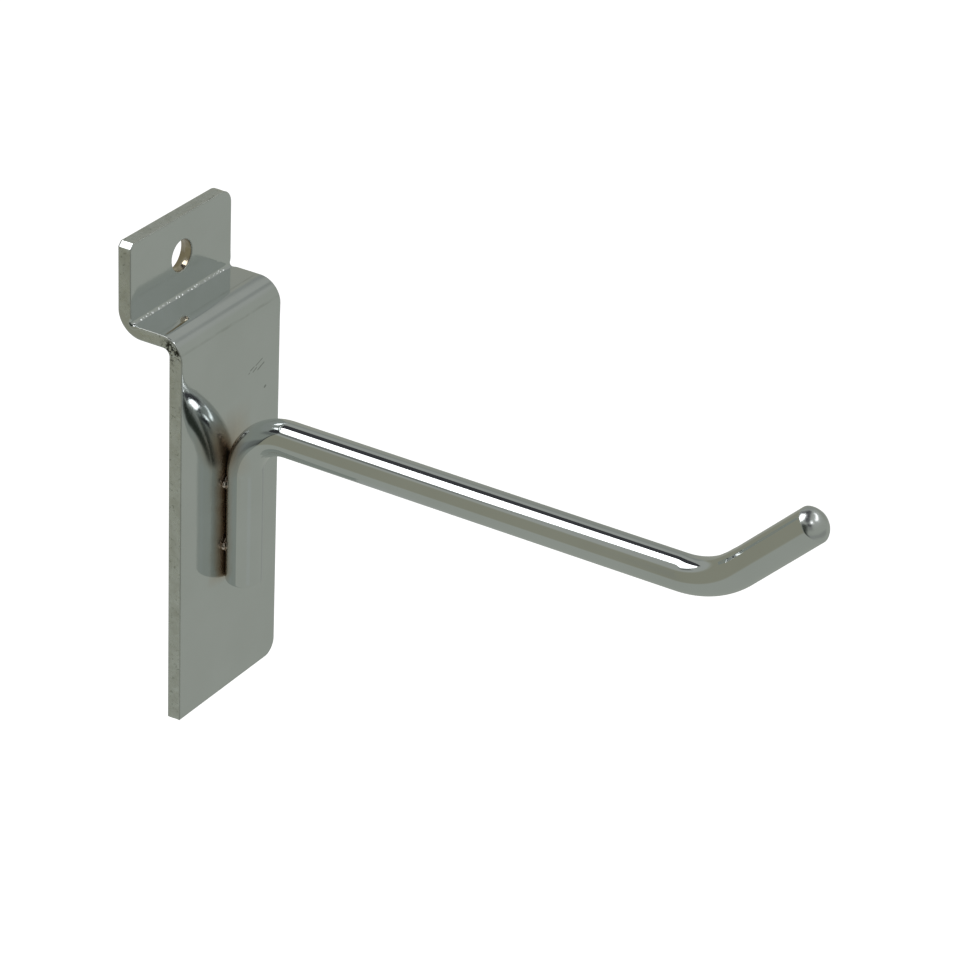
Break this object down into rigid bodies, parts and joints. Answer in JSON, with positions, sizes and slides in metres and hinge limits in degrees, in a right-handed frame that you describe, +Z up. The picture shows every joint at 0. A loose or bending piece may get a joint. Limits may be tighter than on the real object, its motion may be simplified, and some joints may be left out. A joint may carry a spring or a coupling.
{
  "type": "slatwall hook",
  "caption": "Display hook for slotted wall panels: a Z-folded metal strip that catches on the slot's lip carries a bent round rod with an upturned end.",
  "frame": {"origin": "on the back face of the plate that lies against the wall panel, straight behind the axis of the arm", "axes": "+Y into the panel and square to it, so the arm points along -Y; +Z up; X across the strip, with the rounded corners on the +X side"},
  "size_m": [0.027, 0.117, 0.0823],
  "materials": {
    "plated_strip": "bright plated, flat and mirror-like on the faces, rougher on the sheared edges",
    "plated_rod": "bright plated, drawn round wire",
    "plated_weld": "small squeezed-out beads under the same plating"
  },
  "bodies": {
    "root": {"back_plate": "plated_strip", "hook_rod": "plated_rod", "upper_weld": "plated_weld", "lower_weld": "plated_weld"}
  },
  "joints": []
}
